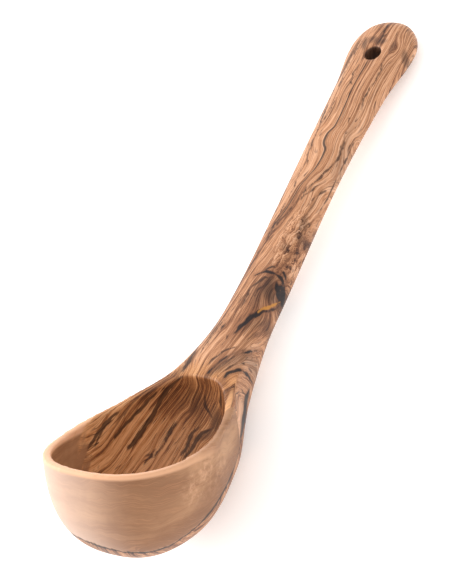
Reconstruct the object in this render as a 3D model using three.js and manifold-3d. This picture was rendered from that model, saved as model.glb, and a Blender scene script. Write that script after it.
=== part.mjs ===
// A ladle carved from one piece of olive wood: a deep round bowl and a rising
// handle with a hanging hole near its end. Millimetres, +Z up. The ladle lies on
// its back as it would on a table, with the handle running along +X.

import * as THREE from 'three';
import { ParametricGeometry } from 'three/addons/geometries/ParametricGeometry.js';
import { mergeVertices } from 'three/addons/utils/BufferGeometryUtils.js';
import Module from 'manifold-3d';

// ---- Driving dimensions -----------------------------------------------------

// The top line runs over the mouth of the bowl and up the handle. Places on it are
// measured along it: from the front lip, from the belly (the widest part of the
// bowl), or back from the end of the handle.
const TOP_LINE_LENGTH = 301;
const LIP_TO_BELLY = 43;
const BEND_LENGTH = 179; // the line turns upwards from the lip as far as here
const HANDLE_ANGLE = 45.5; // degrees above the mouth, where the bend ends
const HANDLE_END_ANGLE = 37; // degrees, after the handle has relaxed again
const SIDE_DRIFT = -7; // the end of the handle stands this far off the middle

const BOWL_WIDTH = 72.6;
const BOWL_DEPTH = 50;
const BOWL_SQUARENESS = 2.55; // 2 is an ellipse, more is boxier
const HANDLE_SQUARENESS = 2.6;

const RIM_WALL = 3.5;
const FLOOR_WALL = 5;
const BELLY_TO_HEEL = 47.5; // from the belly to the back edge of the hollow
const HEEL_SQUARENESS = 4; // of the back edge, seen from above
const HEEL_SLOPE = 2.4; // of the hollow's back wall, seen from the side

// Half-widths and depths below the top line, with the place of each.
const SHOULDER = { fromBelly: 27, halfWidth: 29.4 };
const NECK = { fromBelly: 53.5, halfWidth: 17.4 };
const GRIP_START = { fromBelly: 88, halfWidth: 11.2 };
const GRIP_END = { fromBelly: 144, halfWidth: 11.2 };
const FLARE = { fromEnd: 43, halfWidth: 13.8 };
const END = { fromEnd: 18.5, halfWidth: 17.5 };

const SHOULDER_KEEL = { fromBelly: 29, depth: 41.8 };
const NECK_KEEL = { fromBelly: 61.5, depth: 23.1 };
const GRIP_KEEL = { fromBelly: 97.5, depth: 13.6 };
const MIDDLE_KEEL = { fromBelly: 164, depth: 9.6 };
const END_KEEL = { fromEnd: 22.5, depth: 7.7 };
const END_ROUNDING = 8.2; // how far the end's thickness takes to close

const CROWN_HEIGHT = 6.1; // of the handle's rounded top above the top line
const CROWN_START = 20.5; // from the belly
const CROWN_RUN = 72;

const HOLE_DIAMETER = 8;
const HOLE_FROM_END = 23.5;

// How finely the curved surfaces are cut into facets.
const FRONT_STEPS = 14;
const BODY_STEPS = 30;
const END_STEPS = 9;
const HEEL_STEPS = 14;
const SKIN_SIDES = 44;
const HOLLOW_SIDES = 26;
const HOLE_SIDES = 32;

const CUT_CLEARANCE = 2; // how far a cut reaches past the face that it opens

const endOfLine = TOP_LINE_LENGTH;
const belly = LIP_TO_BELLY;
const heel = belly + BELLY_TO_HEEL;

// ---- Curves -----------------------------------------------------------------

const smooth = (t) => THREE.MathUtils.smoothstep(t, 0, 1);

// A smooth curve through [place, value] knots that never overshoots them. It is
// level at both ends and wherever the values stop rising or falling.
function fairCurve(knots) {
  const spans = knots.slice(1).map(([place, value], i) => {
    const width = place - knots[i][0];
    return { width, slope: (value - knots[i][1]) / width };
  });
  const slopes = knots.map((_, i) => {
    const before = spans[i - 1];
    const after = spans[i];
    if (!before || !after || before.slope * after.slope <= 0) return 0;
    const a = 2 * after.width + before.width;
    const b = after.width + 2 * before.width;
    return (a + b) / (a / before.slope + b / after.slope);
  });
  return (place) => {
    const passed = knots.filter(([start]) => start <= place).length;
    const i = THREE.MathUtils.clamp(passed - 1, 0, spans.length - 1);
    const { width } = spans[i];
    const t = THREE.MathUtils.clamp((place - knots[i][0]) / width, 0, 1);
    return knots[i][1] * (1 + 2 * t) * (1 - t) ** 2
      + slopes[i] * width * t * (1 - t) ** 2
      + knots[i + 1][1] * t * t * (3 - 2 * t)
      - slopes[i + 1] * width * t * t * (1 - t);
  };
}

// Half of a superellipse: how far it reaches at a fraction of its half-length.
const bulge = (fraction, squareness) => (
  Math.max(1 - Math.abs(fraction) ** squareness, 0) ** (1 / squareness)
);

const fromBelly = (knot, value) => [belly + knot.fromBelly, value];
const fromEnd = (knot, value) => [endOfLine - knot.fromEnd, value];

const bodyHalfWidth = fairCurve([
  [belly, BOWL_WIDTH / 2],
  fromBelly(SHOULDER, SHOULDER.halfWidth),
  fromBelly(NECK, NECK.halfWidth),
  fromBelly(GRIP_START, GRIP_START.halfWidth),
  fromBelly(GRIP_END, GRIP_END.halfWidth),
  fromEnd(FLARE, FLARE.halfWidth),
  fromEnd(END, END.halfWidth),
  [endOfLine, END.halfWidth],
]);

const bodyDepth = fairCurve([
  [belly, BOWL_DEPTH],
  fromBelly(SHOULDER_KEEL, SHOULDER_KEEL.depth),
  fromBelly(NECK_KEEL, NECK_KEEL.depth),
  fromBelly(GRIP_KEEL, GRIP_KEEL.depth),
  fromBelly(MIDDLE_KEEL, MIDDLE_KEEL.depth),
  fromEnd(END_KEEL, END_KEEL.depth),
  [endOfLine, END_KEEL.depth],
]);

const frontFraction = (place) => Math.max(belly - place, 0) / LIP_TO_BELLY;
const endFraction = (place, length) => Math.max(place - (endOfLine - length), 0) / length;

const halfWidth = (place) => bodyHalfWidth(place)
  * bulge(frontFraction(place), BOWL_SQUARENESS)
  * bulge(endFraction(place, END.halfWidth), 2);

const depth = (place) => bodyDepth(place)
  * bulge(frontFraction(place), BOWL_SQUARENESS)
  * bulge(endFraction(place, END_ROUNDING), 2);

const crown = (place) => CROWN_HEIGHT
  * smooth((place - belly - CROWN_START) / CROWN_RUN)
  * bulge(endFraction(place, END_ROUNDING), 2);

const squareness = (place) => THREE.MathUtils.lerp(
  BOWL_SQUARENESS,
  HANDLE_SQUARENESS,
  smooth((place - belly - CROWN_START) / CROWN_RUN),
);

// ---- The top line -----------------------------------------------------------

const rise = (place) => THREE.MathUtils.degToRad(
  HANDLE_ANGLE * smooth(place / BEND_LENGTH)
  + (HANDLE_END_ANGLE - HANDLE_ANGLE)
    * smooth((place - BEND_LENGTH) / (endOfLine - BEND_LENGTH)),
);

const LINE_STEPS = 602;
const linePoints = [new THREE.Vector2(-LIP_TO_BELLY, 0)];
for (let i = 1; i <= LINE_STEPS; i += 1) {
  const step = endOfLine / LINE_STEPS;
  const angle = rise((i - 0.5) * step);
  const along = new THREE.Vector2(Math.cos(angle), Math.sin(angle));
  linePoints.push(linePoints[i - 1].clone().addScaledVector(along, step));
}

function onLine(place) {
  const t = (place / endOfLine) * LINE_STEPS;
  const i = Math.min(Math.floor(t), LINE_STEPS - 1);
  return linePoints[i].clone().lerp(linePoints[i + 1], t - i);
}

const drift = (place) => {
  const start = belly + NECK_KEEL.fromBelly;
  return SIDE_DRIFT * smooth((place - start) / (endOfLine - start));
};

// The point at a place on the top line, a distance to the left of it, and a
// height above it, square to the line.
function carvedPoint(place, left, height) {
  const middle = onLine(place);
  const angle = rise(place);
  return new THREE.Vector3(
    middle.x - Math.sin(angle) * height,
    left + drift(place),
    middle.y + Math.cos(angle) * height,
  );
}

// ---- Solids -----------------------------------------------------------------

// Evenly spaced quarter-turn angles, which gather the cross-sections of a round
// end close together where it turns over.
const quarterTurn = (i, steps) => (i / steps) * (Math.PI / 2);
const range = (count, item) => Array.from({ length: count }, (_, i) => item(i));

// A closed surface through loops of points, all with the same number of points.
function loft(loops) {
  const sides = loops[0].length;
  const gaps = loops.length - 1;
  const surface = new ParametricGeometry((around, along, point) => {
    point.copy(loops[Math.round(along * gaps)][Math.round(around * sides) % sides]);
  }, sides, gaps);
  surface.deleteAttribute('normal');
  surface.deleteAttribute('uv');
  const welded = mergeVertices(surface);
  const corners = Array.from(welded.getIndex().array);
  const kept = [];
  for (let i = 0; i < corners.length; i += 3) {
    const [a, b, c] = corners.slice(i, i + 3);
    if (a !== b && b !== c && c !== a) kept.push(a, b, c);
  }
  welded.setIndex(kept);
  return welded;
}

const wasm = await Module();
wasm.setup();

function toSolid(geometry) {
  return new wasm.Manifold(new wasm.Mesh({
    numProp: 3,
    vertProperties: new Float32Array(geometry.getAttribute('position').array),
    triVerts: new Uint32Array(geometry.getIndex().array),
  }));
}

function toGeometry(solid) {
  const mesh = solid.getMesh();
  const geometry = new THREE.BufferGeometry();
  geometry.setAttribute('position', new THREE.BufferAttribute(mesh.vertProperties, 3));
  geometry.setIndex(new THREE.BufferAttribute(mesh.triVerts, 1));
  geometry.computeVertexNormals();
  return geometry;
}

// One cross-section of the blank: a superellipse, shallow above the top line and
// deep below it.
function blankLoop(place) {
  const power = 2 / squareness(place);
  return range(SKIN_SIDES, (i) => {
    const turn = (i / SKIN_SIDES) * 2 * Math.PI;
    const across = Math.cos(turn);
    const upright = Math.sin(turn);
    const reach = upright > 0 ? crown(place) : depth(place);
    return carvedPoint(
      place,
      halfWidth(place) * Math.sign(across) * Math.abs(across) ** power,
      reach * Math.sign(upright) * Math.abs(upright) ** power,
    );
  });
}

function makeBlank() {
  const frontPlaces = range(FRONT_STEPS, (i) => (
    belly - LIP_TO_BELLY * Math.cos(quarterTurn(i, FRONT_STEPS)) ** (2 / BOWL_SQUARENESS)
  ));
  const bodyEnd = endOfLine - END.halfWidth;
  const bodyPlaces = range(BODY_STEPS, (i) => (
    THREE.MathUtils.lerp(belly, bodyEnd, i / BODY_STEPS)
  ));
  const endPlaces = range(END_STEPS + 1, (i) => (
    bodyEnd + END.halfWidth * Math.sin(quarterTurn(i, END_STEPS))
  ));
  return loft([...frontPlaces, ...bodyPlaces, ...endPlaces].map(blankLoop));
}

// One cross-section of the hollow: a superellipse below the top line, with
// straight sides that run up past the crown.
function hollowLoop(place, width, floor) {
  const power = 2 / squareness(place);
  const lid = CROWN_HEIGHT + CUT_CLEARANCE;
  const round = range(HOLLOW_SIDES + 1, (i) => {
    const turn = (i / HOLLOW_SIDES) * Math.PI;
    const across = Math.cos(turn);
    return carvedPoint(
      place,
      -width * Math.sign(across) * Math.abs(across) ** power,
      -floor * Math.sin(turn) ** power,
    );
  });
  return [...round, carvedPoint(place, width, lid), carvedPoint(place, -width, lid)];
}

function makeHollow() {
  const lipReach = LIP_TO_BELLY - RIM_WALL;
  const front = range(FRONT_STEPS, (i) => {
    const fraction = Math.cos(quarterTurn(i, FRONT_STEPS)) ** (2 / BOWL_SQUARENESS);
    const share = bulge(fraction, BOWL_SQUARENESS);
    const width = (BOWL_WIDTH / 2 - RIM_WALL) * share;
    return hollowLoop(belly - lipReach * fraction, width, (BOWL_DEPTH - FLOOR_WALL) * share);
  });
  const back = range(HEEL_STEPS + 1, (i) => {
    const fraction = Math.sin(quarterTurn(i, HEEL_STEPS)) ** (2 / HEEL_SQUARENESS);
    const place = belly + BELLY_TO_HEEL * fraction;
    const width = (bodyHalfWidth(place) - RIM_WALL) * bulge(fraction, HEEL_SQUARENESS);
    const floor = (bodyDepth(place) - FLOOR_WALL) * bulge(fraction, HEEL_SLOPE);
    return hollowLoop(place, width, floor);
  });
  return loft([...front, ...back]);
}

function makeHangingHole() {
  const place = endOfLine - HOLE_FROM_END;
  const bottom = carvedPoint(place, 0, -depth(place) - CUT_CLEARANCE);
  const top = carvedPoint(place, 0, crown(place) + CUT_CLEARANCE);
  const radius = HOLE_DIAMETER / 2;
  const drill = new THREE.CylinderGeometry(radius, radius, top.distanceTo(bottom), HOLE_SIDES);
  const upright = new THREE.Vector3(0, 1, 0);
  const axis = top.clone().sub(bottom).normalize();
  drill.applyQuaternion(new THREE.Quaternion().setFromUnitVectors(upright, axis));
  drill.translate(...top.add(bottom).multiplyScalar(0.5).toArray());
  drill.deleteAttribute('normal');
  drill.deleteAttribute('uv');
  return mergeVertices(drill);
}

// ---- The ladle --------------------------------------------------------------

const oliveWood = new THREE.MeshStandardMaterial({
  name: 'olive_wood',
  color: 0xb98455,
  roughness: 0.5,
  metalness: 0,
});

const carved = toSolid(makeBlank())
  .subtract(toSolid(makeHollow()))
  .subtract(toSolid(makeHangingHole()));

const ladle = new THREE.Mesh(toGeometry(carved), oliveWood);
ladle.name = 'ladle';

// The slope of the table under the carved shape: the line that touches the back
// of the bowl and the underside of the handle's end, with all the wood above it.
function tableSlope() {
  const keel = (place) => carvedPoint(place, 0, -depth(place));
  const samples = range(200, (i) => i / 199);
  const under = samples.map((t) => keel(THREE.MathUtils.lerp(0, heel, t)));
  const behind = samples.map((t) => keel(THREE.MathUtils.lerp(heel, endOfLine, t)));
  const slopes = under.map((a) => (
    Math.min(...behind.map((b) => Math.atan2(b.z - a.z, b.x - a.x)))
  ));
  return Math.max(...slopes);
}

const lying = new THREE.Group();
lying.rotation.y = tableSlope();
lying.add(ladle);

// The origin is under the middle of the ladle's box, on the table.
const group = new THREE.Group();
group.add(lying);
group.updateMatrixWorld(true);
const box = new THREE.Box3().setFromObject(group, true);
const middle = box.getCenter(new THREE.Vector3());
group.position.set(-middle.x, -middle.y, -box.min.z);

export default group;
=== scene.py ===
"""A ladle carved from one piece of olive wood, lying on a pale floor in soft light."""

import bmesh
import bpy
import numpy as np
from bpy.props import (
    FloatProperty,
    FloatVectorProperty,
    IntProperty,
    PointerProperty,
)
from mathutils import Matrix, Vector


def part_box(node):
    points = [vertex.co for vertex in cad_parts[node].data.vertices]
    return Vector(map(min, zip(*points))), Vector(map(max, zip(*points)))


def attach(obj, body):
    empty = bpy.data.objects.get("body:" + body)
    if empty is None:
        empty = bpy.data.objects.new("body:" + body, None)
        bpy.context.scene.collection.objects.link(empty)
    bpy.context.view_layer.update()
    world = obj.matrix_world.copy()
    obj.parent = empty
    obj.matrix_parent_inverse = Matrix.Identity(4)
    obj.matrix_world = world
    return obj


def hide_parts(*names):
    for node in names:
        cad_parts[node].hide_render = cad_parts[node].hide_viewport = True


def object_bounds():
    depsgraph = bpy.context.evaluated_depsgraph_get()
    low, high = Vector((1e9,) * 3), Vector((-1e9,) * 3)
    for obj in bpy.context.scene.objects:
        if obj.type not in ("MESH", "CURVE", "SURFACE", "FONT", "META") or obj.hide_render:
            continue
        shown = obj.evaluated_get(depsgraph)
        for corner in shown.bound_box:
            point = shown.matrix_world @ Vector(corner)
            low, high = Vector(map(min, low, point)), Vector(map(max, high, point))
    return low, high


bl_info = {
    "name": "Olive Wood Ladle",
    "version": (1, 0, 0),
    "blender": (4, 5, 0),
    "location": "View3D > Sidebar > Ladle",
    "description": "Carves a one-piece olive-wood ladle and sets up its studio",
    "category": "Object",
}

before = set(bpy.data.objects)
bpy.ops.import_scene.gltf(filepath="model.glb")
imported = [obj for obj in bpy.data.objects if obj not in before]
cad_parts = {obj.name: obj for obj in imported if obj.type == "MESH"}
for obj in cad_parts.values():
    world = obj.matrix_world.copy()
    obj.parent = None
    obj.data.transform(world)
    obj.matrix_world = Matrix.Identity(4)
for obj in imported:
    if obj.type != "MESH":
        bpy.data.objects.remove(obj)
CAD_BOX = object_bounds()
NODE = "ladle"
MM = 0.001


# ---- Sizes and colours a user would change ----


def length(name, millimetres, description):
    """A length property, stated in millimetres and kept in metres."""
    return FloatProperty(
        name=name,
        description=description,
        default=millimetres * MM,
        subtype="DISTANCE",
        unit="LENGTH",
        precision=5,
    )


def angle(name, degrees, description):
    """An angle property, stated in degrees and kept in radians."""
    return FloatProperty(
        name=name,
        description=description,
        default=np.radians(degrees),
        subtype="ANGLE",
        unit="ROTATION",
    )


def number(name, default, description):
    """A plain number property."""
    return FloatProperty(name=name, description=description, default=default)


def tint(name, shade, description):
    """A colour property, stated as the six-digit shade that a screen shows."""
    screen = np.array([int(shade[i : i + 2], 16) for i in (0, 2, 4)]) / 255
    linear = np.where(screen <= 0.04045, screen / 12.92, ((screen + 0.055) / 1.055) ** 2.4)
    return FloatVectorProperty(
        name=name,
        description=description,
        default=linear.tolist(),
        subtype="COLOR",
        min=0,
        max=1,
    )


class LadleSizes(bpy.types.PropertyGroup):
    """The carved shape. Places are measured along the top line of the ladle."""

    top_line: length("Top line", 301, "From the front lip to the end of the handle")
    lip_to_belly: length("Lip to belly", 43, "To the widest part of the bowl")
    bend: length("Bend", 179, "The line turns upwards from the lip as far as here")
    handle_angle: angle("Handle angle", 45.5, "Above the mouth, where the bend ends")
    end_angle: angle("End angle", 37, "Above the mouth, at the end of the handle")
    drift: length("Side drift", -7, "How far the end stands off the middle")
    bowl_width: length("Bowl width", 72.6, "Across the outside of the rim")
    bowl_depth: length("Bowl depth", 50, "From the rim to the outside of the floor")
    bowl_squareness: number("Bowl squareness", 2.55, "2 is an ellipse, more is boxier")
    handle_squareness: number("Handle squareness", 2.6, "The same, for the handle")
    rim_wall: length("Rim wall", 3.5, "Thickness of the wall at the rim")
    floor_wall: length("Floor wall", 5, "Thickness of the floor of the bowl")
    belly_to_heel: length("Belly to heel", 47.5, "To the back edge of the hollow")
    heel_squareness: number("Heel squareness", 4, "Of the back edge, from above")
    heel_slope: number("Heel slope", 2.4, "Of the back wall, from the side")
    crown_height: length("Crown", 6.1, "Rounded top of the handle above its line")
    crown_start: length("Crown start", 20.5, "From the belly")
    crown_run: length("Crown run", 72, "How far the crown takes to rise")
    end_half_width: length("End half-width", 17.5, "Half the width of the flared end")
    end_rounding: length("End rounding", 8.2, "How far the end's thickness takes to close")
    hole_diameter: length("Hole", 8, "Diameter of the hanging hole")
    hole_from_end: length("Hole from end", 23.5, "From the end of the handle to the hole")
    skin_grain: length("Skin step", 0.8, "Size of the finest facets of the surface")
    rim_softening: IntProperty(
        name="Rim softening",
        description="Passes of sanding that round the edges",
        default=5,
    )


class WoodColours(bpy.types.PropertyGroup):
    """Oiled olive wood."""

    honey: tint("Honey", "d9a784", "Lightest heartwood")
    tan: tint("Tan", "b8825c", "Middle heartwood")
    brown: tint("Brown", "7a4d34", "Brown bands")
    umber: tint("Umber", "35211a", "Dark growth lines")
    ink: tint("Ink", "121015", "Black inclusions and veins")
    # Glow is painted shade and warm bounce light: it multiplies the inside of the bowl darker and
    # warmer.
    glow: tint("Glow", "fff6dc", "Warmth of the oiled wood inside the bowl")
    amber: tint("Amber", "b57a34", "Sliver of resin-coloured wood")
    sapwood: tint("Sapwood", "ae8360", "Pale outer wood")
    # Partly paler wood, partly painted light: this cream lightens the left of the bowl where light and
    # sheen fall.
    cream_left_light: tint("Cream", "dfbfac", "Palest wood, on the left of the bowl")
    # The rim colour is a painted highlight: the top band of the rim is lighter where it faces the light.
    rim: tint("Rim", "ebb48d", "Pale wood of the rim, where it is sanded most")
    # Sapwood shade colours the soft bands of the pale wood and also the painted shade on the bowl's
    # front and towards its bottom.
    sapwood_shade: tint("Sapwood shade", "82583b", "Soft bands in the pale wood")


class StudioSizes(bpy.types.PropertyGroup):
    """The camera and the lights."""

    azimuth: angle("Azimuth", 60.69, "Direction that the camera looks in, from +X")
    elevation: angle("Elevation", 47.29, "How steeply the camera looks down")
    roll: angle("Roll", -44.54, "Turn of the picture about the line of sight")
    distance: length("Distance", 965.1, "From the camera to the point it aims at")
    lens: number("Lens", 131.7, "Focal length in millimetres")
    aim_forward: length("Aim forward", -17, "Aimed point from the box's middle, along X")
    aim_left: length("Aim left", 2.2, "Aimed point from the box's middle, along Y")
    aim_up: length("Aim up", 36.1, "Aimed point above the floor")
    sky: number("Sky", 1.18, "Brightness of the white room")
    key: number("Key", 15.5, "Power of the large overhead lamp, in watts")
    floor_glow: number("Floor glow", 0.3, "Light that the floor gives of its own")
    floor: tint("Floor", "f7f6f4", "Colour of the floor")


# ---- The carved shape ----


def smooth(t):
    """Rises from 0 to 1 as t does, level at both ends: three t squared less two t cubed."""
    t = np.clip(t, 0, 1)
    return t * t * (3 - 2 * t)


def bulge(fraction, squareness):
    """Half of a superellipse: (1 - fraction^squareness)^(1/squareness), 0 past the end."""
    return np.maximum(1 - np.abs(fraction) ** squareness, 0) ** (1 / squareness)


def signed_power(value, power):
    """The size of a value raised to a power, with its sign kept."""
    return np.sign(value) * np.abs(value) ** power


def fair_curve(knots):
    """A function through (place, value) knots: cubic Hermite pieces whose slopes are the
    weighted harmonic means of their neighbours', so that it never overshoots a knot."""
    places, values = np.array(knots, float).T
    widths = np.diff(places)
    rises = np.diff(values) / widths
    slopes = np.zeros_like(places)
    before, after = rises[:-1], rises[1:]
    turning = before * after <= 0
    a = 2 * widths[1:] + widths[:-1]
    b = widths[1:] + 2 * widths[:-1]
    with np.errstate(divide="ignore", invalid="ignore"):
        slopes[1:-1] = np.where(turning, 0, (a + b) / (a / before + b / after))

    def curve(place):
        place = np.clip(place, places[0], places[-1])
        i = np.clip(np.searchsorted(places, place, side="right") - 1, 0, len(widths) - 1)
        t = (place - places[i]) / widths[i]
        return (
            values[i] * (1 + 2 * t) * (1 - t) ** 2
            + slopes[i] * widths[i] * t * (1 - t) ** 2
            + values[i + 1] * t * t * (3 - 2 * t)
            - slopes[i + 1] * widths[i] * t * t * (1 - t)
        )

    return curve


class Carving:
    """The ladle's measures as functions of the place along its top line."""

    def __init__(self, sizes):
        self.sizes = sizes
        self.belly = sizes.lip_to_belly
        self.end = sizes.top_line
        self.neck = self.belly + 61.5 * MM
        belly, end = self.belly, self.end
        self.body_half_width = fair_curve([
            (belly, sizes.bowl_width / 2),
            (belly + 27 * MM, 29.4 * MM),
            (belly + 53.5 * MM, 17.4 * MM),
            (belly + 88 * MM, 11.2 * MM),
            (belly + 144 * MM, 11.2 * MM),
            (end - 43 * MM, 13.8 * MM),
            (end - 18.5 * MM, sizes.end_half_width),
            (end, sizes.end_half_width),
        ])
        self.body_depth = fair_curve([
            (belly, sizes.bowl_depth),
            (belly + 29 * MM, 41.8 * MM),
            (self.neck, 23.1 * MM),
            (belly + 97.5 * MM, 13.6 * MM),
            (belly + 164 * MM, 9.6 * MM),
            (end - 22.5 * MM, 7.7 * MM),
            (end, 7.7 * MM),
        ])
        steps = 600
        self.line_places = np.linspace(0, end, steps + 1)
        middles = (self.line_places[1:] + self.line_places[:-1]) / 2
        step = end / steps
        along = np.cumsum(np.cos(self.rise(middles)) * step)
        upward = np.cumsum(np.sin(self.rise(middles)) * step)
        self.line_x = np.concatenate([[0], along]) - belly
        self.line_z = np.concatenate([[0], upward])

    def rise(self, place):
        """The top line's angle above the mouth: it turns smoothly to the handle's angle,
        then relaxes to the end's angle."""
        sizes = self.sizes
        relax = smooth((place - sizes.bend) / (self.end - sizes.bend))
        return sizes.handle_angle * smooth(place / sizes.bend) + relax * (
            sizes.end_angle - sizes.handle_angle
        )

    def front(self, place):
        """How far forward of the belly, as a fraction of the way to the lip."""
        return np.maximum(self.belly - place, 0) / self.sizes.lip_to_belly

    def closing(self, place, run):
        """How far into the rounding at the end of the handle, as a fraction of its run."""
        return np.maximum(place - (self.end - run), 0) / run

    def half_width(self, place):
        """The body's half-width, rounded off at the lip and at the end."""
        sizes = self.sizes
        return (
            self.body_half_width(place)
            * bulge(self.front(place), sizes.bowl_squareness)
            * bulge(self.closing(place, sizes.end_half_width), 2)
        )

    def depth(self, place):
        """The body's depth below the top line, rounded off at the lip and at the end."""
        sizes = self.sizes
        return (
            self.body_depth(place)
            * bulge(self.front(place), sizes.bowl_squareness)
            * bulge(self.closing(place, sizes.end_rounding), 2)
        )

    def crown_rise(self, place):
        """How much of the crown has risen, from 0 at the bowl to 1 on the handle."""
        start = self.belly + self.sizes.crown_start
        return smooth((place - start) / self.sizes.crown_run)

    def crown(self, place):
        """The height of the rounded top above the top line."""
        sizes = self.sizes
        rounding = bulge(self.closing(place, sizes.end_rounding), 2)
        return sizes.crown_height * self.crown_rise(place) * rounding

    def power(self, place):
        """The power of a cross-section's superellipse: two over its squareness."""
        sizes = self.sizes
        change = sizes.handle_squareness - sizes.bowl_squareness
        return 2 / (sizes.bowl_squareness + change * self.crown_rise(place))

    def drift(self, place):
        """How far the middle of the handle stands off to the side."""
        return self.sizes.drift * smooth((place - self.neck) / (self.end - self.neck))

    def point(self, place, left, height):
        """Points to the left of the top line and square above it, in an array of xyz."""
        place, left, height = np.broadcast_arrays(place, left, height)
        rise = self.rise(place)
        x = np.interp(place, self.line_places, self.line_x)
        z = np.interp(place, self.line_places, self.line_z)
        return np.stack(
            [
                x - np.sin(rise) * height,
                left + self.drift(place),
                z + np.cos(rise) * height,
            ],
            axis=-1,
        )

    def measure(self, points):
        """The inverse of point: the nearest place on the line, found in a few steps along
        its tangent, then how far a point is to the left of it and above it."""
        x, y, z = points.T
        place = x + self.belly
        for _ in range(12):
            rise = self.rise(place)
            across = x - np.interp(place, self.line_places, self.line_x)
            upward = z - np.interp(place, self.line_places, self.line_z)
            ahead = across * np.cos(rise) + upward * np.sin(rise)
            place = np.clip(place + 0.9 * ahead, 0.1 * MM, self.end - 0.1 * MM)
        height = upward * np.cos(rise) - across * np.sin(rise)
        return np.stack([place, y - self.drift(place), height], axis=-1)

    def skin(self, measured):
        """How near the outside a point is: 1 on the blank's surface, less within it. It
        is the size of a superellipsoid through the point, over the blank's own size."""
        place, left, height = measured.T
        square = 2 / self.power(place)
        reach = np.where(height > 0, self.crown(place) + 8 * MM, self.body_depth(place))
        shares = [
            self.front(place),
            np.abs(left) / self.body_half_width(place),
            np.abs(height) / reach,
        ]
        return sum(share**square for share in shares) ** (1 / square)

    def table_slope(self):
        """The slope of the line that touches the bowl's back and the handle's end from
        below: over all pairs, the greatest of the least slopes."""
        heel = self.belly + self.sizes.belly_to_heel
        under = np.linspace(0, heel, 200)
        behind = np.linspace(heel, self.end, 200)
        a = self.point(under, 0, -self.depth(under))[:, None]
        b = self.point(behind, 0, -self.depth(behind))[None]
        slopes = np.arctan2(b[..., 2] - a[..., 2], b[..., 0] - a[..., 0])
        return slopes.min(axis=1).max()


def quarter_turn(count, last=False):
    """Even angles from 0 to a quarter turn, with the last one or without it."""
    return np.linspace(0, np.pi / 2, count, endpoint=last)


def blank_surface(carving):
    """The blank as a grid of points. Along it, the place on the top line; around it, the
    turn of a superellipse that is shallow above the line and deep below it."""
    sizes = carving.sizes
    body_end = carving.end - sizes.end_half_width
    front = np.cos(quarter_turn(60)) ** (2 / sizes.bowl_squareness)
    place = np.concatenate([
        carving.belly - sizes.lip_to_belly * front,
        np.linspace(carving.belly, body_end, 170, endpoint=False),
        body_end + sizes.end_half_width * np.sin(quarter_turn(30, last=True)),
    ])[:, None]
    turn = np.linspace(0, 2 * np.pi, 168, endpoint=False)[None]
    power = carving.power(place)
    reach = np.where(np.sin(turn) > 0, carving.crown(place), carving.depth(place))
    left = carving.half_width(place) * signed_power(np.cos(turn), power)
    height = reach * signed_power(np.sin(turn), power)
    return carving.point(place, left, height)


def hollow_surface(carving):
    """The hollow as a grid of points. Along it, the place; around it, a superellipse below
    the top line, then straight up past the crown and back across."""
    sizes = carving.sizes
    lid = sizes.crown_height + 4 * MM
    front = np.cos(quarter_turn(50)) ** (2 / sizes.bowl_squareness)
    back = np.sin(quarter_turn(60, last=True)) ** (2 / sizes.heel_squareness)
    share = bulge(front, sizes.bowl_squareness)
    back_place = carving.belly + sizes.belly_to_heel * back
    back_width = carving.body_half_width(back_place) - sizes.rim_wall
    back_floor = carving.body_depth(back_place) - sizes.floor_wall
    place = np.concatenate([
        carving.belly - (sizes.lip_to_belly - sizes.rim_wall) * front,
        back_place,
    ])[:, None]
    width = np.concatenate([
        (sizes.bowl_width / 2 - sizes.rim_wall) * share,
        back_width * bulge(back, sizes.heel_squareness),
    ])[:, None]
    floor = np.concatenate([
        (sizes.bowl_depth - sizes.floor_wall) * share,
        back_floor * bulge(back, sizes.heel_slope),
    ])[:, None]
    turn = np.linspace(0, np.pi, 121)[None]
    power = carving.power(place)
    left = -width * signed_power(np.cos(turn), power)
    height = -floor * np.abs(np.sin(turn)) ** power
    across = np.linspace(1, -1, 9)[None]
    left = np.concatenate([left, width * across], axis=1)
    height = np.concatenate([height, np.full_like(width * across, lid)], axis=1)
    return carving.point(place, left, height)


def hole_surface(carving):
    """The drill for the hanging hole: a circle carried through the handle's end, which
    flares at both faces as a sanded edge does."""
    sizes = carving.sizes
    place = carving.end - sizes.hole_from_end
    top, bottom = carving.crown(place), -carving.depth(place)
    reach, flare = 3 * MM, 0.9 * MM
    steps = [bottom - reach, bottom - 0.2 * MM, bottom + flare, 0]
    steps += [top - flare, top + 0.2 * MM, top + reach]
    widening = [reach + flare, flare, 0, 0, 0, flare, reach + flare]
    height = np.array(steps)[:, None]
    radius = sizes.hole_diameter / 2 + np.array(widening)[:, None]
    turn = np.linspace(0, 2 * np.pi, 96, endpoint=False)[None]
    middle = carving.point(place, 0, height)
    forward = np.array([np.cos(carving.rise(place)), 0, np.sin(carving.rise(place))])
    sideways = np.array([0, 1, 0])
    circle = np.cos(turn)[..., None] * forward + np.sin(turn)[..., None] * sideways
    return middle + radius[..., None] * circle


# ---- Meshes ----


def closed_tube(name, grid):
    """A mesh from a grid of points that closes around, with its two ends filled, its
    doubled points merged and its faces turned outwards."""
    along, around = grid.shape[:2]
    index = np.arange(along * around).reshape(along, around)
    next_index = np.roll(index, -1, axis=1)
    quads = np.stack([index[:-1], next_index[:-1], next_index[1:], index[1:]], axis=-1)
    mesh = bpy.data.meshes.new(name)
    ends = [index[0].tolist(), index[-1].tolist()]
    mesh.from_pydata(grid.reshape(-1, 3), [], quads.reshape(-1, 4).tolist() + ends)
    work = bmesh.new()
    work.from_mesh(mesh)
    bmesh.ops.remove_doubles(work, verts=work.verts, dist=1e-6)
    bmesh.ops.dissolve_degenerate(work, edges=work.edges, dist=1e-7)
    bmesh.ops.recalc_face_normals(work, faces=work.faces)
    work.to_mesh(mesh)
    work.free()
    piece = bpy.data.objects.new(name, mesh)
    bpy.context.scene.collection.objects.link(piece)
    return piece


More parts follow.
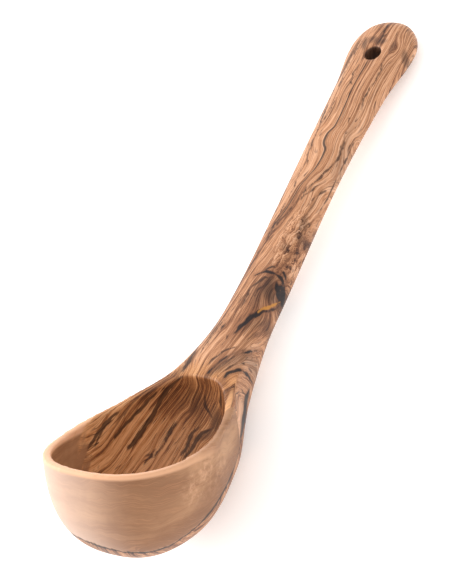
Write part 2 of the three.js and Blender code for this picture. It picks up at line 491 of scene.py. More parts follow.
def finish_modifiers(piece):
    """Turns a piece's modifiers into its mesh."""
    depsgraph = bpy.context.evaluated_depsgraph_get()
    finished = bpy.data.meshes.new_from_object(piece.evaluated_get(depsgraph))
    piece.modifiers.clear()
    worn = piece.data
    piece.data = finished
    bpy.data.meshes.remove(worn)


def cut(piece, cutter):
    """Cuts the cutter's shape out of the piece."""
    modifier = piece.modifiers.new("cut", "BOOLEAN")
    modifier.operation = "DIFFERENCE"
    modifier.solver = "EXACT"
    modifier.object = cutter
    finish_modifiers(piece)
    bpy.data.objects.remove(cutter)


def read_points(mesh):
    """A mesh's points as an array of xyz."""
    points = np.empty(len(mesh.vertices) * 3)
    mesh.vertices.foreach_get("co", points)
    return points.reshape(-1, 3)


def write_points(mesh, points):
    """Moves a mesh's points to an array of xyz."""
    mesh.vertices.foreach_set("co", points.ravel())
    mesh.update()


def keep_values(mesh, name, kind, values):
    """Keeps a number or a vector for every point, for the material to read."""
    form = "FLOAT_VECTOR" if kind == "vector" else "FLOAT"
    attribute = mesh.attributes.new(name, form, "POINT")
    attribute.data.foreach_set(kind, values.ravel())


def sand(mesh, passes, pressure=0.5):
    """Moves every point part of the way to the mean of its neighbours, several times."""
    pairs = np.empty(len(mesh.edges) * 2, np.int32)
    mesh.edges.foreach_get("vertices", pairs)
    a, b = pairs.reshape(-1, 2).T
    points = read_points(mesh)
    count = np.bincount(pairs, minlength=len(points))[:, None]
    for _ in range(passes):
        total = np.stack(
            [
                np.bincount(a, points[b, axis], len(points))
                + np.bincount(b, points[a, axis], len(points))
                for axis in range(3)
            ],
            axis=-1,
        )
        points += pressure * (total / count - points)
    write_points(mesh, points)


def lay_down(mesh, slope):
    """Turns the carved shape by the table's slope, and fits it to the frame's box."""
    points = read_points(mesh)
    turned = points.copy()
    turned[:, 0] = points[:, 0] * np.cos(slope) + points[:, 2] * np.sin(slope)
    turned[:, 2] = points[:, 2] * np.cos(slope) - points[:, 0] * np.sin(slope)
    low, high = (np.array(corner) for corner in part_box(NODE))
    own_low, own_high = turned.min(axis=0), turned.max(axis=0)
    scale = (high - low) / (own_high - own_low)
    write_points(mesh, low + (turned - own_low) * scale)


def oval(x, y, place, size, turn=0.0):
    """How far out of a turned oval a point is: 0 at its middle, 1 on its edge, squared."""
    cosine, sine = np.cos(np.radians(turn)), np.sin(np.radians(turn))
    across, up = x - place[0], y - place[1]
    along = (across * cosine + up * sine) / size[0]
    aside = (up * cosine - across * sine) / size[1]
    return along * along + aside * aside


def wander(points):
    """The points moved a little by slow and quick sine waves, so that lines drawn through
    them meander as growth lines do."""
    x, y, z = points.T
    sway = 0.6 * np.sin(0.31 * x + 0.5 * y) + 0.3 * np.sin(0.83 * x - 0.9 * z + 1)
    sway += 0.22 * np.sin(2.1 * x + 1.7 * y + 2)
    return points + sway[:, None] * np.array([0.15, 0.7, 0.3])


def vein_gap(points, path, half_width):
    """How far outside a bent line points are. The line is its width at its inner corners
    and a fifth of it at its ends; each piece is the nearest point of a segment."""
    path = np.array(path, float)
    widths = np.full(len(path), half_width)
    widths[[0, -1]] = half_width * 0.2
    gap = np.full(len(points), np.inf)
    for start, end, first, last in zip(path, path[1:], widths, widths[1:]):
        line = end - start
        offset = points - start
        share = np.clip(offset @ line / (line @ line), 0, 1)
        distance = np.linalg.norm(offset - share[:, None] * line, axis=1)
        gap = np.minimum(gap, distance - (first + share * (last - first)))
    return gap


def mark_figure(mesh):
    """Keeps, for every point, how the wood's figure is shaped there: the push of the
    swells, the darkness of the patches, and the gaps to the veins of each colour."""
    points = read_points(mesh) / MM
    x, y = points[:, 0], points[:, 1]
    bend = np.zeros(len(points))
    for along, left, half_length, half_width, push in SWELLS:
        far = oval(x, y, (along, left), (half_length, half_width))
        bend += push * np.exp(-1.4 * far)
    keep_values(mesh, "bend", "value", bend)
    patch = np.zeros(len(points))
    for along, left, half_length, half_width, turn, strength in PATCHES:
        far = oval(x, y, (along, left), (half_length, half_width), turn)
        patch = np.maximum(patch, strength * smooth(1 - far / 1.8))
    keep_values(mesh, "patch", "value", patch)
    moved = wander(points)
    for colour, veins in VEINS.items():
        gaps = [vein_gap(moved, path, half_width) for half_width, path in veins]
        keep_values(mesh, colour, "value", np.minimum.reduce(gaps))


def carve_ladle(sizes):
    """Cuts the hollow and the hanging hole out of the blank, gives it an even skin and
    sands its edges round."""
    carving = Carving(sizes)
    piece = closed_tube("carved_ladle", blank_surface(carving))
    cut(piece, closed_tube("hollow", hollow_surface(carving)))
    cut(piece, closed_tube("drill", hole_surface(carving)))
    skin = piece.modifiers.new("even_skin", "REMESH")
    skin.mode = "VOXEL"
    skin.voxel_size = sizes.skin_grain
    finish_modifiers(piece)
    sand(piece.data, sizes.rim_softening)
    carved = read_points(piece.data)
    measured = carving.measure(carved)
    keep_values(piece.data, "carved", "vector", carved)
    keep_values(piece.data, "height", "value", measured[:, 2])
    keep_values(piece.data, "skin", "value", carving.skin(measured))
    lay_down(piece.data, carving.table_slope())
    mark_figure(piece.data)
    piece.data.polygons.foreach_set("use_smooth", [True] * len(piece.data.polygons))
    return piece


# ---- Shader maths ----


class Value:
    """A number in a shader, which Python's operators work on."""

    def __init__(self, shader, socket):
        self.shader = shader
        self.socket = socket

    def maths(self, operation, *others, **settings):
        """A Math node on this value and up to two others."""
        settings["operation"] = operation
        inputs = dict(enumerate([self, *others]))
        return self.shader.make("ShaderNodeMath", settings, inputs)

    def __add__(self, other):
        return self.maths("ADD", other)

    __radd__ = __add__

    def __sub__(self, other):
        return self.maths("SUBTRACT", other)

    def __rsub__(self, other):
        return (self * -1) + other

    def __mul__(self, other):
        return self.maths("MULTIPLY", other)

    __rmul__ = __mul__

    def __truediv__(self, other):
        return self.maths("DIVIDE", other)

    def __rtruediv__(self, other):
        return self.maths("POWER", -1) * other

    def size(self):
        """Its size, without its sign."""
        return self.maths("ABSOLUTE")

    def part(self):
        """Its fractional part."""
        return self.maths("FRACT")

    def whole(self):
        """Its whole part."""
        return self.maths("FLOOR")

    def least(self, other):
        """The lesser of the two."""
        return self.maths("MINIMUM", other)

    def most(self, other):
        """The greater of the two."""
        return self.maths("MAXIMUM", other)

    def step(self, low, high):
        """Rises smoothly from 0 at low to 1 at high, or falls where low is the greater."""
        settings = {"interpolation_type": "SMOOTHSTEP"}
        if low > high:
            return 1 - self.step(high, low)
        return self.shader.make("ShaderNodeMapRange", settings, {0: self, 1: low, 2: high})


class Shader:
    """Builds one material's nodes."""

    def __init__(self, name):
        self.material = bpy.data.materials.new(name)
        self.material.use_nodes = True
        self.tree = self.material.node_tree
        self.tree.nodes.clear()

    def node(self, kind, settings=None, inputs=None):
        """A node of a kind, its settings set first, then its sockets given or linked."""
        node = self.tree.nodes.new(kind)
        for key, value in (settings or {}).items():
            if key == "stops":
                self.set_stops(node.color_ramp, value)
            elif key == "points":
                self.set_points(node.mapping, value)
            else:
                setattr(node, key, value)
        for key, value in (inputs or {}).items():
            socket = node.inputs[key]
            if isinstance(value, Value):
                self.tree.links.new(value.socket, socket)
            else:
                socket.default_value = value
        return node

    def make(self, kind, settings=None, inputs=None, output=0):
        """The same, as a value of one of the node's outputs."""
        return Value(self, self.node(kind, settings, inputs).outputs[output])

    @staticmethod
    def set_stops(ramp, stops):
        """Gives a colour ramp its (position, colour) stops."""
        while len(ramp.elements) < len(stops):
            ramp.elements.new(0.5)
        for element, (position, colour) in zip(ramp.elements, stops):
            element.position = position
            element.color = (*colour, 1)

    @staticmethod
    def set_points(mapping, points):
        """Gives a curve its points, from 0 to 1 each way."""
        curve = mapping.curves[0]
        curve.points[0].location = points[0]
        curve.points[-1].location = points[-1]
        for place in points[1:-1]:
            curve.points.new(*place)
        for point in curve.points:
            point.handle_type = "AUTO_CLAMPED"
        mapping.update()

    def kept(self, name):
        """A number that the mesh keeps for every point."""
        return self.make("ShaderNodeAttribute", {"attribute_name": name}, output=2)

    def parts(self, vector, scale=1.0):
        """A vector's x, y and z, scaled."""
        node = self.node("ShaderNodeSeparateXYZ", None, {0: vector})
        return [Value(self, output) * scale for output in node.outputs]

    def ramp(self, value, stops):
        """A colour from (position, colour) stops."""
        return self.make("ShaderNodeValToRGB", {"stops": stops}, {0: value})

    def vector(self, x, y, z=0.0):
        """A vector from three numbers or values."""
        return self.make("ShaderNodeCombineXYZ", None, {0: x, 1: y, 2: z})

    def noise(self, place, scale=1.0, detail=2.0, roughness=0.5):
        """Smooth noise about 0.5 at a place."""
        inputs = {"Vector": place, "Scale": scale, "Detail": detail, "Roughness": roughness}
        return self.make("ShaderNodeTexNoise", None, inputs)

    def blend(self, factor, a, b, mode="MIX"):
        """Colour b over colour a by a factor. Colours are values or tints."""
        settings = {"data_type": "RGBA", "blend_type": mode, "clamp_factor": True}
        inputs = {"Factor": factor, 6: self.colour(a), 7: self.colour(b)}
        return self.make("ShaderNodeMix", settings, inputs, output=2)

    @staticmethod
    def colour(value):
        """A colour as a socket takes it."""
        return value if isinstance(value, Value) else (*value, 1)


# ---- Olive wood ----

# The middle growth line of the handle, seen from above: (along, left) in millimetres.
HEART_VEIN = (
    (-62, 20), (-40, 16.5), (-20, 13.5), (0, 10.5), (18, 7), (28, 2.8),
    (39, -0.6), (47, -1.9), (54, -4.8), (60, -6.2), (68, -5.3), (76, -3.5),
    (84, -5.6), (92, -6.2), (105, -5.6), (121, -6.5), (150, -7),
)

# The growth lines inside the bowl, seen from above: they fall to the right as they go back.
BOWL_VEIN = ((-125, 3), (-105, 1.5), (-90, -0.5), (-78, -3.5), (-68, -8), (-60, -13))

# Where pale wood gives way to brown on the outside: (degrees about the bowl's upright
# axis, from the front to the left; height from the rim in millimetres).
SAP_EDGE = (
    (-180, 4), (-150, 3), (-138, -9), (-127, -17.5), (-105, -23.5),
    (-82, -31.5), (-63, -35), (-38, -38.5), (-10, -36.5), (17, -33.5),
    (60, -30), (100, -14), (125, 2), (180, 4),
)

# The growth lines in the bowl are counted from here, so that they meet the handle's at the
# heel, and they spread away from a line this far to the right of the middle one.
BOWL_COUNT = 32
FAN_MIDDLE = 19

# The painted shade on the dark wall of the hanging hole: its middle (along, left) and its height, how
# far along it leans for each millimetre up, and how far out the shade reaches, in millimetres.
HOLE_SHADE_PLACE = (126.6, -6.7)
HOLE_SHADE_HEIGHT = 9.1
HOLE_SHADE_LEAN = 0.14
HOLE_SHADE_REACH = 4.35

# How near the outside the pale wood begins: (degrees about the bowl, share of the way out).
SAP_SKIN = ((-180, 1.1), (-141, 1.1), (-134, 0.86), (80, 0.9), (98, 0.97), (112, 1.1), (180, 1.1))

# How dark the heartwood is along the ladle: (along in millimetres, darkness).
DARKNESS = (
    (-150, 0.3), (-95, 0.26), (-78, 0.32), (-66, 0.62), (-59, 0.56), (-52, 0.32),
    (-38, 0.35), (-18, 0.52), (12, 0.42), (40, 0.34), (70, 0.24), (105, 0.34),
    (150, 0.42),
)

# Swells bend the growth lines around them as knots do:
# (along, left, half-length, half-width, push), in millimetres.
SWELLS = (
    (72, -9, 13, 4.5, 2.6), (50, -8.5, 8, 4, -2.4), (112, -3, 7, 2.2, 1.5),
    (131, -19, 8, 3.5, 3.5), (133, -4, 9, 5, -2.1), (12, -3, 14, 6, 2),
    (-7, -12, 10, 9, -7), (-30, 1, 8, 3, 1.5), (-62, -18, 14, 10, -9),
    (-84, 1, 10, 7, -6), (-94.6, 20.2, 7, 1.8, 2.1), (-69, 9, 4, 3, 1.4),
    (-70, -4, 6, 4, -1.8),
)

# Soft dark patches: (along, left, half-length, half-width, turn in degrees, strength).
PATCHES = (
    (133, 0.4, 4, 1.6, 15, 0.7), (135.5, -2.7, 2.2, 3.5, 0, 0.5), (134.5, -8.4, 1.8, 3, 20, 0.65),
    (132, -15.8, 4, 1.4, 5, 0.4), (128, -23, 4, 1.2, 15, 0.6), (142, -6.5, 4, 0.7, -10, 0.5),
    (-6, -9.5, 7, 4, 20, 0.8), (122, 5.5, 12, 1.2, 2, 0.45), (64, -15.5, 26, 1.2, 2, 0.3),
    (30, -11.5, 4.5, 1.6, 5, 0.55), (23, -12, 3.5, 1.6, 20, 0.5), (16, -8, 2.5, 1.8, 50, 0.4),
    (-9, -6, 8, 5, 30, 0.35), (-24, -9, 6, 3, -20, 0.4), (-50, -6.5, 8, 3, -35, 0.55),
    (-44, -12, 6, 4, -30, 0.5), (-51, 12, 9, 2.2, -8, 0.5), (-33, 8, 9, 1.5, -8, 0.35),
    (-78, -1, 2, 7, 25, 0.55), (-72, -6, 6, 4, 20, 0.55), (-66, 6, 5, 3.5, 0, 0.3),
)

# Dark veins of each colour, from point to point of the frame in millimetres:
# (half-width, points). Their ends run out thin.
INK_VEINS = (
    # The curl across the handle and the black wood where it ends.
    (0.6, ((-1, 1, 23), (2, -4, 23), (2, -8, 22), (1, -11, 20), (-1, -12, 17), (-4, -12, 13))),
    (0.4, ((3, -3, 23), (5, -7, 22), (4, -11, 20), (0, -13, 15))),
    (1.9, ((-2, -12, 19), (-5, -12, 14), (-7, -12, 12), (-10, -12, 9))),
    (1.4, ((-1, -9.5, 21), (-4, -11, 19.5), (-7, -11.8, 17), (-9, -12, 14))),
    # The spindle below it.
    (1.1, ((-34, -3, 26), (-28, -5, 26), (-24, -6.5, 25), (-19, -9, 23), (-16, -11, 21))),
    (0.6, ((-19, -9.5, 23), (-16, -11.5, 20), (-13, -12, 16), (-9, -12, 12))),
    (0.25, ((-40, -2, 27), (-33, -2, 26), (-26, -4, 25), (-20, -7, 24))),
    (0.3, ((-33, 5, 26), (-30, 4, 26), (-26, 1, 26))),
    # The pointed arches on the neck.
    (0.6, ((-59, 0, 28), (-55, -2, 31), (-50, -3, 29), (-45, -6, 28), (-39, -12, 26))),
    (0.7, ((-60, -10, 31), (-53, -12, 30), (-50, -15, 28), (-49, -16, 22), (-50, -14, 11))),
    (0.5, ((-42, -12, 27), (-39, -14, 24), (-34, -12, 16))),
    (2.6, ((-54, -16, 16), (-60, -18, 17), (-66, -20, 17), (-73, -23, 20), (-79, -26, 22))),
)
UMBER_VEINS = (
    # The curl across the handle and the black wood where it ends.
    (0.4, ((-16, -3, 25), (-8, -4, 24), (-3, -7, 22), (-2, -10, 20))),
    (0.4, ((-19, 0, 25), (-8, 0, 24), (-1, -5, 23), (-1, -9, 21))),
    # The spindle below it.
    (0.4, ((-38, 0, 27), (-35, -1, 27), (-31, 0, 26))),
    # The pointed arches on the neck.
    (0.4, ((-57, -4, 31), (-50, -6, 29), (-45, -9, 28), (-41, -12, 26))),
    (0.3, ((-55, 2, 30), (-49, 0, 29), (-43, -3, 28), (-38, -9, 27))),
    (0.4, ((-56, -8, 31), (-50, -11, 29), (-46, -15, 26), (-46, -15, 16))),
    (0.8, ((-64, 15, 31), (-55, 12, 30), (-50, 12, 29), (-41, 12, 26))),
    # The lines beside the handle's middle line.
    (0.3, ((128, -15, 15), (117, -16, 17), (107, -15, 18), (96, -15, 18), (84, -17, 17))),
    (0.2, ((121, -3.5, 17), (114, -2.1, 17.6), (109, -3, 18.3), (107, -5.7, 18.6))),
    (0.3, ((136, 3.8, 14), (118, 5.1, 16), (109, 5.3, 16.4), (93, 4.5, 18.4), (74, 5, 19.5))),
    (0.2, ((137, 1.9, 14), (129, 3.1, 15), (118, 3.4, 16.4), (103, 2.1, 18.3))),
    (0.2, ((99, 0.1, 19), (92, -0.1, 19.8), (85, 1.5, 20), (72, 2.4, 20.7))),
    (0.4, ((74, 5, 19.5), (51, 6, 20), (39, 5.8, 20.7), (30, 6.7, 20.5), (10, 8.5, 20))),
    (0.3, ((62, 0.5, 21.5), (48, 0.9, 22), (33, 2, 22), (23, 3.4, 22), (4, 6.5, 21.5))),
    (0.3, ((49, -6.8, 22), (36, -3.3, 22.2), (29, 0.5, 22), (19, 3, 22), (11, 6.3, 21.4))),
    (0.4, ((0, 9.5, 21), (-13, 9, 22.5), (-25, 9.4, 23.6), (-44, 12.3, 27), (-60, 17, 32))),
    (0.3, ((-11, 0.7, 23.8), (-22, 4.4, 24.8), (-32, 7.1, 25.8), (-47, 8.7, 28.3))),
    (0.3, ((149, -7, 12), (138, -7, 15), (131, -8, 15))),
    (0.3, ((88, -17, 17), (68, -16, 15), (47, -14, 15), (36, -14, 16))),
    (0.3, ((100, 3, 18), (85, 3, 20), (70, 1, 21), (51, 3, 21))),
    (0.3, ((55, -14, 19), (46, -9, 22), (40, -5, 22))),
    (0.3, ((51, -15, 17), (45, -12, 21), (38, -10, 21))),
    (0.6, ((88, -12, 20), (78, -14, 19), (64, -14, 19), (54, -11, 21), (44, -6, 22))),
    # The bold streaks on the left wall of the bowl.
    (0.7, ((-77, 28, 38), (-91, 30, 43), (-101, 32, 44), (-111, 32, 47), (-116, 32, 51))),
    (1.0, ((-59, 10, 31), (-66, 17, 30), (-79, 22, 25), (-90, 25, 25), (-107, 28, 30))),
    (0.7, ((-62, 17, 33), (-77, 24, 32), (-90, 28, 34), (-111, 30, 36))),
    (0.4, ((-82, 29, 41), (-95, 31, 42), (-108, 32, 42))),
    (0.8, ((-59, 0, 29), (-66, 1, 19), (-71, -3, 17))),
    (0.8, ((-59, -10, 31), (-64, -8, 22), (-69, -9, 20))),
    (0.5, ((-72, 12, 17), (-79, 16, 17), (-86, 17, 16), (-94, 19, 16))),
    (0.7, ((-90, 20, 17), (-94, 20.5, 17), (-99, 21, 18))),
    (0.8, ((-73, -7, 15), (-77, 2, 13), (-86, 6, 11), (-91, 8, 11))),
    (0.6, ((-71, 0, 15), (-78, 6, 13), (-85, 8, 12), (-90, 10, 11))),
)
AMBER_VEINS = (
    # The sliver of amber wood beside the spindle.
    (0.7, ((-19, -8.5, 23.5), (-15.5, -10.5, 21.5), (-12, -11.5, 18), (-8, -12, 14))),
)
VEINS = {"ink": INK_VEINS, "umber": UMBER_VEINS, "amber": AMBER_VEINS}


def through(shader, value, knots):
    """A smooth curve of a value through (place, result) knots, level past both ends."""
    places, results = np.array(knots, float).T
    low, high = results.min(), results.max()
    points = np.stack([
        (places - places[0]) / (places[-1] - places[0]),
        (results - low) / (high - low),
    ], axis=1)
    place = (value - places[0]) / (places[-1] - places[0])
    curve = shader.make(
        "ShaderNodeFloatCurve",
        {"points": points.tolist()},
        {"Value": place.least(1).most(0)},
    )
    return curve * (high - low) + low


class Grain:
    """The growth layers of a piece of wood, as values of a shader."""

    def __init__(self, shader):
        self.shader = shader
        here = shader.make("ShaderNodeTexCoord", output=3)
        self.x, self.y, self.z = shader.parts(here, 1 / MM)
        carved = shader.make("ShaderNodeAttribute", {"attribute_name": "carved"}, output=1)
        self.forward, self.left, self.up = shader.parts(carved, 1 / MM)
        self.height = shader.kept("height") * (1 / MM)
        self.skin = shader.kept("skin")
        self.bend = shader.kept("bend")
        self.burl = oval(self.x, self.y, (17, -9), (21, 6.5)).step(1.3, 0.3)
        self.knotty = self.noise(0.3, 0.45, detail=4) - 0.5
        self.sway = self.noise(0.02, 0.09, detail=2) - 0.5
        self.ripple = self.noise(0.06, 0.4, detail=2) - 0.5
        self.angle = self.left.maths("ARCTAN2", 5 - self.forward) * (180 / np.pi)

    def noise(self, along, across, shift=0.0, **settings):
        """Noise that is stretched along the ladle."""
        shader = self.shader
        place = shader.vector(self.x * along + shift, self.y * across, self.z * across)
        return shader.noise(place, **settings)

    def layers(self, inside):
        """How far a point is to the left of the middle growth line."""
        handle = self.y - through(self.shader, self.x, HEART_VEIN) + (self.height - 5) * 0.35
        bowl = self.y - through(self.shader, self.x, BOWL_VEIN) + self.height * 0.1
        bowl = bowl - BOWL_COUNT
        layers = handle + (bowl - handle) * inside
        waves = self.sway * 1.8 + self.ripple * 0.5 + self.knotty * self.burl * 7
        fan = (layers + FAN_MIDDLE) * inside * 0.45
        return layers + fan + waves * (1 - inside * 0.7) + self.bend

    def streaks(self, layers, shift=0.0):
        """Soft bands of all widths."""
        place = self.shader.vector(self.x * 0.009 + shift, layers * 0.95, self.z * 0.02)
        return self.shader.noise(place, detail=5, roughness=0.66)

    def lines(self, layers, spacing, shift=0.0):
        """Thin growth lines, like a map's contours: each ends softly on one side."""
        place = self.shader.vector(self.x * 0.009 + shift, layers * 0.36, self.z * 0.02)
        height = self.shader.noise(place, detail=1) * spacing
        step = height.part()
        chance = self.shader.make(
            "ShaderNodeTexWhiteNoise",
            {"noise_dimensions": "1D"},
            {"W": height.whole() + shift},
        )
        return step.step(0.7, 0.95) * step.step(1, 0.97) * chance.step(0.15, 0.8)

    def fibres(self, layers):
        """Short fine dashes along the grain."""
        place = self.shader.vector(self.x * 0.22, layers * 4.5, self.z * 0.3)
        return self.shader.noise(place, detail=3, roughness=0.6)

    def above_edge(self):
        """The height above the edge of the pale wood."""
        wave = self.ripple * 2.5
        return self.up - through(self.shader, self.angle, SAP_EDGE) + wave

    def past_corner(self):
        """How far behind the pale corner of the hollow a point is: the corner's face leans
        forwards as it goes down."""
        return self.forward + 6 - self.up * 0.97

    def pale_shell(self):
        """1 in the pale wood: the skin of the bowl. Its front corner is pale in part inside."""
        least_skin = through(self.shader, self.angle, SAP_SKIN) + self.ripple * 0.04
        shell = (self.skin - least_skin).step(-0.008, 0.008)
        front = (self.past_corner() + self.sway * 9).step(1.5, -1.5)
        within = self.forward.step(60, 50)
        edge = self.above_edge().step(-0.35, 0.35)
        return shell.most(front * 0.4) * edge * within


def heartwood(grain, colours, inside):
    """Brown heartwood with bands, growth lines and a dark vein along the handle, with painted shade
    under the bowl and inside it.
    """
    shader = grain.shader
    layers = grain.layers(inside)
    darkness = through(shader, grain.x, DARKNESS)
    streaks = grain.streaks(layers)
    fibres = grain.fibres(layers)
    corner = grain.past_corner().step(14, 5) * inside
    # Painted shade: below the edge of the pale wood, the underside of the bowl is darkened.
    under = grain.above_edge().step(0, -1) * grain.forward.step(60, 50) * (1 - inside)
    liveliness = (2.6 + inside * 0.2) * (1 - corner * 0.6)
    tone = darkness + (streaks - 0.5) * liveliness + (fibres - 0.5) * 1.1
    tone = tone + grain.knotty * grain.burl * 1.5 + under * 0.25 - corner * 0.15
    base = shader.ramp(
        tone,
        [(0.0, colours.honey), (0.38, colours.tan), (0.72, colours.brown), (1.0, colours.umber)],
    )
    lines = grain.lines(layers, 15) * (0.65 + darkness * 0.6 + inside * 0.2) * (1 - corner * 0.7)
    base = shader.blend(lines * 0.9, base, colours.umber)
    broad = grain.lines(layers, 3.5, shift=40) * darkness.step(0.1, 0.7) * (1 - corner)
    base = shader.blend(broad * 0.8, base, colours.umber)
    on_handle = grain.x.step(20, 30) * grain.x.step(124, 120)
    middle = layers.size().step(0.55, 0.15) * on_handle
    base = shader.blend(middle * 0.85, base, colours.ink)
    patch = shader.kept("patch") * (0.4 + streaks * 1.2)
    base = shader.blend(patch, base, colours.umber)
    strip = oval(grain.x, grain.y, (-72, -24), (12, 1.6), 24).step(1.3, 0.4)
    base = shader.blend(strip * 0.7, base, colours.honey)
    ragged = (streaks - 0.5) * 2 + (grain.ripple * 1.5 + (fibres - 0.5)) * (1 - inside)
    umber = (shader.kept("umber") + ragged * 0.5).step(0.5, -0.1)
    base = shader.blend(umber * 0.85, base, colours.umber)
    ink = shader.kept("ink")
    halo = (ink + ragged * 1.5).step(2.6, 0)
    base = shader.blend(halo * 0.5, base, colours.brown)
    core = (ink + ragged * 0.8).step(0.5, -0.15)
    base = shader.blend(core * 0.93, base, colours.ink)
    # Painted shade: the inside of the bowl is multiplied by the glow tint, darker and warmer where shade
    # and bounce light fall.
    base = shader.blend(inside, base, colours.glow, "MULTIPLY")
    amber = (shader.kept("amber") + ragged * 0.3).step(0.3, -0.1)
    return shader.blend(amber * 0.9, base, colours.amber), tone


def palewood(grain, colours):
    """Pale wood with soft level bands, thin wavy lines and a mottled flank, with painted light on the
    flank and painted shade on the front and towards the bottom.
    """
    shader = grain.shader
    level = grain.up + grain.sway * 8 + grain.ripple * 0.8
    around = grain.angle * 0.012
    bands = shader.noise(shader.vector(around, level * 0.13), detail=4, roughness=0.55)
    base = shader.blend(bands.step(0.36, 0.68), colours.sapwood, colours.sapwood_shade)
    height = shader.noise(shader.vector(around + 5, level * 0.12), detail=1) * 9
    lines = height.part().step(0.7, 0.97) * height.part().step(1, 0.97)
    base = shader.blend(lines * 0.22, base, colours.brown)
    # Painted shade: the middle of the bowl's outside, to the front and right, is darkened between its
    # lit sides.
    shade = oval(grain.angle, grain.up, (-38, -10), (34, 22)).step(1.2, 0.0)
    base = shader.blend(shade * 0.75, base, colours.sapwood_shade)
    mottle = shader.noise(shader.vector(grain.x, grain.y, grain.z), scale=0.35, detail=5, roughness=0.65)
    # Partly mottled paler wood, partly painted light: the right flank of the bowl is lightened with
    # honey where light falls on it.
    flank = oval(grain.angle, grain.up, (-85, -13), (28, 12)).step(1.3, 0.3)
    base = shader.blend(mottle.step(0.42, 0.72) * flank * 0.55, base, colours.honey)
    # Painted shade: the pale wood is darkened towards the bottom of the bowl, down to the edge of the
    # brown wood.
    low = grain.above_edge().step(17, 2)
    base = shader.blend(low * 0.95, base, colours.sapwood_shade)
    fine = shader.noise(shader.vector(around * 4, level * 2.2), detail=2)
    base = shader.blend(fine.step(0.45, 0.75) * 0.4, base, colours.tan)
    broad = grain.noise(0.05, 0.07, shift=9, detail=3, roughness=0.6)
    return shader.blend(broad.step(0.45, 0.7) * 0.5, base, colours.sapwood_shade)


def olive_wood(colours):
    """Oiled olive wood: brown figured heartwood under a pale shell."""
    shader = Shader("olive_wood")
    grain = Grain(shader)
    inside = grain.skin.step(0.97, 0.93) * grain.forward.step(56, 46)
    heart, tone = heartwood(grain, colours, inside)

    sap = palewood(grain, colours)
    outside = 1 - inside
    # Painted light: the outside of the bowl, from its front round to its left, is lightened with cream
    # where light and sheen fall on paler wood.
    side = grain.angle.step(-35, 20) * grain.angle.step(105, 55) * outside
    sap = shader.blend(side * 0.65, sap, colours.cream_left_light)
    sap = shader.blend(inside * 0.15, sap, colours.tan)
    # Painted highlight: the top band of the rim, except at its back right, is lightened where it faces
    # the light.
    rim = grain.up.step(-2.6, -1.0) * grain.angle.step(-120, -20)
    sap = shader.blend(rim * 0.8, sap, colours.rim)
    base = shader.blend(grain.pale_shell(), heart, sap)
    on_shell = grain.skin.step(0.94, 0.97) * grain.forward.step(60, 50)
    above = grain.above_edge()
    thick = oval(grain.angle, grain.up, (-105, -23), (32, 14)).step(1.5, 0)
    edge_line = ((above + 0.8).size() - thick * 0.6).step(1.1, 0.1)
    edge_line = edge_line * on_shell * grain.up.step(2, -4)
    base = shader.blend(edge_line * 0.9, base, colours.ink)

    # Painted shade: the wall of the hanging hole is darkened with umber, where the deep hole lies in
    # shade.
    hole_shade = oval(
        grain.x - (grain.z - HOLE_SHADE_HEIGHT) * HOLE_SHADE_LEAN,
        grain.y,
        HOLE_SHADE_PLACE,
        (HOLE_SHADE_REACH, HOLE_SHADE_REACH),
    ).step(1.12, 0.9)
    base = shader.blend(hole_shade * 0.85, base, colours.umber)

    roughness = 0.46 + (tone - 0.5) * 0.08
    bump = shader.make(
        "ShaderNodeBump",
        None,
        {"Strength": 0.12, "Distance": 0.0001, "Height": tone},
    )
    inputs = {
        "Base Color": base,
        "Roughness": roughness,
        "Normal": bump,
        "IOR": 1.45,
        "Specular IOR Level": 0.3,
    }
    surface = shader.node("ShaderNodeBsdfPrincipled", None, inputs)
    shader.node("ShaderNodeOutputMaterial", None, {0: Value(shader, surface.outputs[0])})
    return shader.material


# ---- Operators ----


class LADLE_OT_carve(bpy.types.Operator):
    """Carve the ladle and give it its olive wood"""

    bl_idname = "ladle.carve"
    bl_label = "Carve Ladle"

    def execute(self, context):
        piece = carve_ladle(context.scene.ladle_sizes)
        piece.data.materials.clear()
        piece.data.materials.append(olive_wood(context.scene.wood_colours))
        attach(piece, "root")
        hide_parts(NODE)
        return {"FINISHED"}


def add_floor(studio):
    """A large pale floor under the ladle."""
    half = 4.0
    corners = [(-half, -half, 0), (half, -half, 0), (half, half, 0), (-half, half, 0)]
    mesh = bpy.data.meshes.new("floor")
    mesh.from_pydata(corners, [], [(0, 1, 2, 3)])
    floor = bpy.data.objects.new("floor", mesh)
    bpy.context.scene.collection.objects.link(floor)
    paint = Shader("floor_paint")
    inputs = {
        "Base Color": (*studio.floor, 1),
        "Roughness": 0.9,
        "Emission Color": (1, 1, 1, 1),
        "Emission Strength": studio.floor_glow,
    }
    surface = paint.node("ShaderNodeBsdfPrincipled", None, inputs)
    paint.node("ShaderNodeOutputMaterial", None, {0: Value(paint, surface.outputs[0])})
    mesh.materials.append(paint.material)


def look_along(azimuth, elevation, roll):
    """The camera's right, up and backward directions for a line of sight."""
    flat = np.array([np.cos(azimuth), np.sin(azimuth), 0])
    sight = flat * np.cos(elevation) - np.array([0, 0, np.sin(elevation)])
    level = np.array([np.sin(azimuth), -np.cos(azimuth), 0])
    upright = np.cross(level, sight)
    right = np.cos(roll) * level + np.sin(roll) * upright
    return right, np.cross(right, sight), -sight


def place_object(name, data, place, axes):
    """Adds an object at a place, with its own axes along three directions."""
    thing = bpy.data.objects.new(name, data)
    matrix = np.eye(4)
    matrix[:3, :3] = np.array(axes).T
    matrix[:3, 3] = place
    thing.matrix_world = Matrix(matrix.tolist())
    bpy.context.scene.collection.objects.link(thing)
    return thing


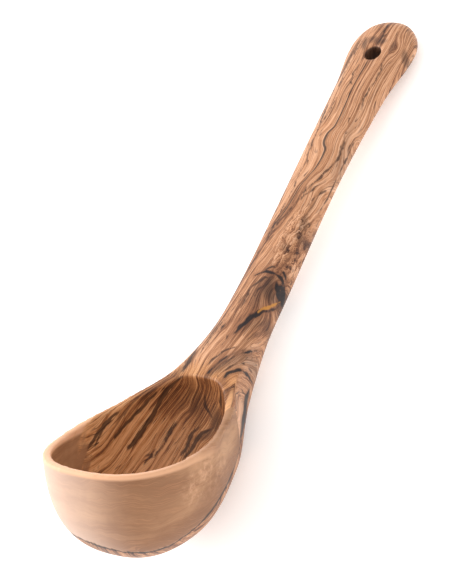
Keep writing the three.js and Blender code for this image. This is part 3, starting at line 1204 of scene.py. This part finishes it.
def add_camera(studio):
    """The camera, aimed at a point near the middle of the ladle."""
    low, high = (np.array(corner) for corner in CAD_BOX)
    middle = (low + high) / 2
    aim = np.array([middle[0] + studio.aim_forward, middle[1] + studio.aim_left, studio.aim_up])
    axes = look_along(studio.azimuth, studio.elevation, studio.roll)
    data = bpy.data.cameras.new("camera")
    data.lens = studio.lens
    camera = place_object("camera", data, aim + axes[2] * studio.distance, axes)
    bpy.context.scene.camera = camera


def add_lamp(name, place, size, power):
    """A soft square lamp that faces the origin."""
    data = bpy.data.lights.new(name, "AREA")
    data.size = size
    data.energy = power
    back = np.array(place) / np.linalg.norm(place)
    side = np.cross([0, 1, 0], back)
    side /= np.linalg.norm(side)
    place_object(name, data, place, (side, np.cross(back, side), back))


class LADLE_OT_stage(bpy.types.Operator):
    """Set up the floor, the camera and the lights"""

    bl_idname = "ladle.stage"
    bl_label = "Set Up Studio"

    def execute(self, context):
        studio = context.scene.studio_sizes
        add_floor(studio)
        add_camera(studio)
        world = bpy.data.worlds.new("white_room")
        world.use_nodes = True
        background = world.node_tree.nodes["Background"]
        background.inputs["Color"].default_value = (1, 1, 1, 1)
        background.inputs["Strength"].default_value = studio.sky
        context.scene.world = world
        add_lamp("window_lamp", (-0.2, 1.1, 0.65), 1.0, studio.key)
        context.scene.view_settings.view_transform = "Standard"
        return {"FINISHED"}


class LADLE_PT_panel(bpy.types.Panel):
    """Lists the ladle's steps"""

    bl_label = "Ladle"
    bl_idname = "LADLE_PT_panel"
    bl_space_type = "VIEW_3D"
    bl_region_type = "UI"
    bl_category = "Ladle"

    def draw(self, context):
        scene = context.scene
        for group in (scene.ladle_sizes, scene.wood_colours, scene.studio_sizes):
            for name in group.bl_rna.properties.keys():
                if name not in {"rna_type", "name"}:
                    self.layout.prop(group, name)
        self.layout.operator(LADLE_OT_carve.bl_idname)
        self.layout.operator(LADLE_OT_stage.bl_idname)


CLASSES = (
    LadleSizes,
    WoodColours,
    StudioSizes,
    LADLE_OT_carve,
    LADLE_OT_stage,
    LADLE_PT_panel,
)


def register():
    for cls in CLASSES:
        bpy.utils.register_class(cls)
    bpy.types.Scene.ladle_sizes = PointerProperty(type=LadleSizes)
    bpy.types.Scene.wood_colours = PointerProperty(type=WoodColours)
    bpy.types.Scene.studio_sizes = PointerProperty(type=StudioSizes)


def unregister():
    del bpy.types.Scene.studio_sizes
    del bpy.types.Scene.wood_colours
    del bpy.types.Scene.ladle_sizes
    for cls in reversed(CLASSES):
        bpy.utils.unregister_class(cls)


def main():
    register()
    bpy.ops.ladle.stage()
    bpy.ops.ladle.carve()


if __name__ == "__main__":
    main()
